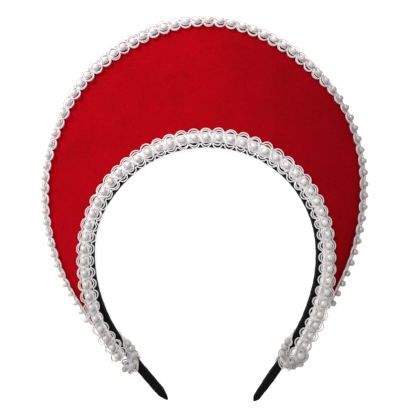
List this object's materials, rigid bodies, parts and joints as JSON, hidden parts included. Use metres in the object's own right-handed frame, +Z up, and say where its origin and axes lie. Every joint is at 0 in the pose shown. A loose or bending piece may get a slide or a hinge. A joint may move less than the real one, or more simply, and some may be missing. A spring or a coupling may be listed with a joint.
{
  "type": "crown headband",
  "caption": "Crown headband: a padded red velvet crescent round a thin black arched band, edged with scalloped pearl lace.",
  "frame": {"origin": "centre of the bounding box's lower face, on the surface the headband lies on", "axes": "+Z up from the surface it lies on, out of the panel's front; +Y from the band's tips to the top of the crown; +X to the right as seen from +Z"},
  "size_m": [0.1898, 0.2226, 0.0174],
  "materials": {
    "headband": "matte woven ribbon over a plastic band",
    "crown_panel": "matte velvet",
    "outer_trim": "white cord lace with satin pearls",
    "inner_trim": "white cord lace with satin pearls",
    "end_wrap_left": "white cord lace with satin pearls",
    "end_wrap_right": "white cord lace with satin pearls"
  },
  "bodies": {
    "root": {"headband": "headband", "crown_panel": "crown_panel", "outer_trim": "outer_trim", "inner_trim": "inner_trim", "end_wrap_left": "end_wrap_left", "end_wrap_right": "end_wrap_right"}
  },
  "joints": []
}
